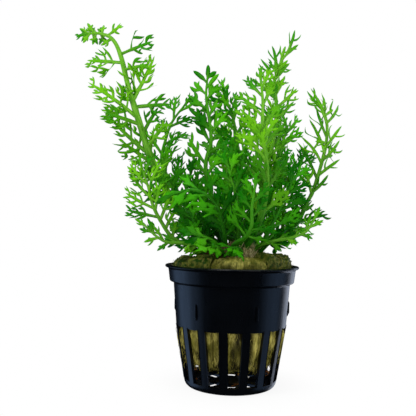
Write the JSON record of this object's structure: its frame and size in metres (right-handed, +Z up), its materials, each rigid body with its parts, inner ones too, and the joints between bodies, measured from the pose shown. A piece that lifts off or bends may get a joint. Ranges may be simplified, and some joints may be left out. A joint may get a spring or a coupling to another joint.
{
  "type": "water sprite in a net pot",
  "caption": "Bunch of finely divided water sprite fronds rising from a crown packed with rock wool in a slotted net pot.",
  "frame": {"origin": "middle of the pot's flat underside", "axes": "+Z up along the pot's axis, -Y towards the front that the picture shows, +X to the right of that view"},
  "size_m": [0.1121, 0.0763, 0.1495],
  "materials": {
    "pot_plastic": "satin injection-moulded polypropylene, blue-black",
    "rock_wool": "wet mineral fibre, olive to straw",
    "crown_fibre": "fibrous, brown to straw",
    "root": "fine fibrous root",
    "leaf_fresh": "satin living leaf, fresh green",
    "leaf_grown": "satin living leaf, mid green",
    "leaf_deep": "satin living leaf, deep green"
  },
  "bodies": {
    "root": {"net_pot": "pot_plastic", "rock_wool_left": "rock_wool", "rock_wool_middle": "rock_wool", "rock_wool_right": "rock_wool", "crown": "crown_fibre", "root_left": "root", "root_front": "root", "root_right": "root", "root_back": "root", "frond_tall_left": "leaf_fresh", "frond_tall_right": "leaf_fresh", "frond_right_front": "leaf_fresh", "frond_arch_right": "leaf_fresh", "frond_left": "leaf_fresh", "frond_low_left": "leaf_fresh", "frond_low_right": "leaf_fresh", "frond_back": "leaf_fresh", "frond_middle": "leaf_grown", "frond_front_arch": "leaf_grown", "frond_broad_left": "leaf_grown", "frond_broad_front": "leaf_grown", "frond_back_left": "leaf_grown", "frond_centre_back": "leaf_grown", "frond_right_middle": "leaf_grown", "frond_back_low_left": "leaf_grown", "frond_back_low_right": "leaf_grown", "frond_front_left": "leaf_deep", "frond_young_front": "leaf_deep", "frond_mid_left": "leaf_deep", "frond_back_right": "leaf_deep", "frond_right_low": "leaf_deep", "frond_left_inner": "leaf_deep", "frond_centre_front": "leaf_grown"}
  },
  "joints": []
}
